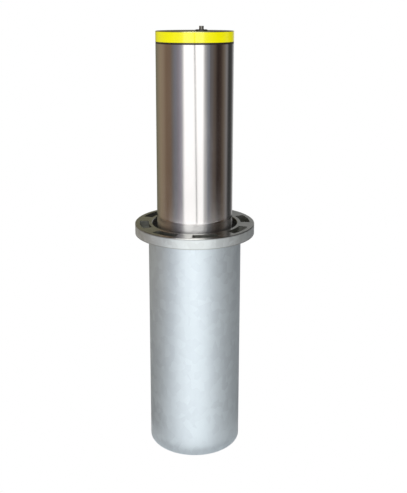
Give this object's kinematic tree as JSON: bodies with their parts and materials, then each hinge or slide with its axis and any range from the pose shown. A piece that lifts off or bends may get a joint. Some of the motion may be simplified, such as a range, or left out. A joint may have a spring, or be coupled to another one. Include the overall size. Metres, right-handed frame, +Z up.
{
  "type": "retractable bollard",
  "caption": "Round steel street bollard that slides down into a buried galvanised sleeve, with a pocketed ring flange at paving level, a yellow reflective band and a key lock on top.",
  "frame": {"origin": "middle of the underside of the base plate, on the post axis", "axes": "+Z up along the post; -Y is the side seen from the front; the key lock lies 68 degrees from +X towards -Y"},
  "size_m": [0.348, 0.348, 1.2375],
  "materials": {
    "stainless": "polished, fine vertical grain",
    "galvanised": "hot-dip zinc, matte",
    "flange_zinc": "hot-dip zinc, dulled",
    "reflective_yellow": "reflective film",
    "trim_black": "matte",
    "seal_rubber": "matte",
    "buffer_rubber": "matte",
    "guide_polymer": "machined",
    "strut_black": "satin",
    "strut_chrome": "polished",
    "zinc_steel": "zinc plated",
    "lock_dark": "satin",
    "lock_steel": "machined",
    "screw_steel": "machined"
  },
  "bodies": {
    "casing": {"base_plate": "galvanised", "ground_sleeve": "galvanised", "top_flange": "flange_zinc", "guide_housing": "galvanised", "guide_ring": "guide_polymer", "wiper_seal": "seal_rubber", "guide_rails": "galvanised", "upper_keeper": "zinc_steel", "lower_keeper": "zinc_steel", "drain_grate": "galvanised", "grate_screws": "screw_steel", "down_buffers": "buffer_rubber", "strut_foot_boss": "zinc_steel", "strut_foot_pin": "screw_steel", "strut_rod": "strut_chrome", "strut_piston": "zinc_steel"},
    "post": {"post_tube": "stainless", "top_cap": "stainless", "cap_screws": "screw_steel", "reflective_band": "reflective_yellow", "band_trim": "trim_black", "head_crossbar": "zinc_steel", "strut_head_nut": "screw_steel", "strut_cylinder": "strut_black", "strut_gland": "zinc_steel", "foot_flange": "zinc_steel", "guide_shoes": "guide_polymer", "shoe_screws": "screw_steel", "stop_bumpers": "buffer_rubber", "lock_escutcheon": "lock_dark", "escutcheon_screws": "screw_steel", "lock_rod_guides": "zinc_steel", "latch_guide_block": "zinc_steel"},
    "lock": {"lock_barrel": "lock_steel", "lock_rod": "zinc_steel", "latch_crank": "zinc_steel"},
    "latch": {"latch_bolt": "zinc_steel"}
  },
  "joints": [
    {"name": "post_slide", "type": "slide", "parent": "casing", "child": "post", "axis": [0, 0, 1], "range_m": [-0.548, 0], "stiffness_N_per_m": 100, "springref_m": 3.6},
    {"name": "lock_turn", "type": "hinge", "parent": "post", "child": "lock", "pos_m": [0.01836, -0.04543, 1.2], "axis": [0, 0, -1], "range_deg": [0, 90]},
    {"name": "latch_slide", "type": "slide", "parent": "post", "child": "latch", "axis": [0.3746, -0.9272, 0], "range_m": [0, 0.0146]}
  ],
  "couplings": [
    {"joint": "latch_slide", "follows": "lock_turn", "m_per_rad": 0.0090032}
  ]
}
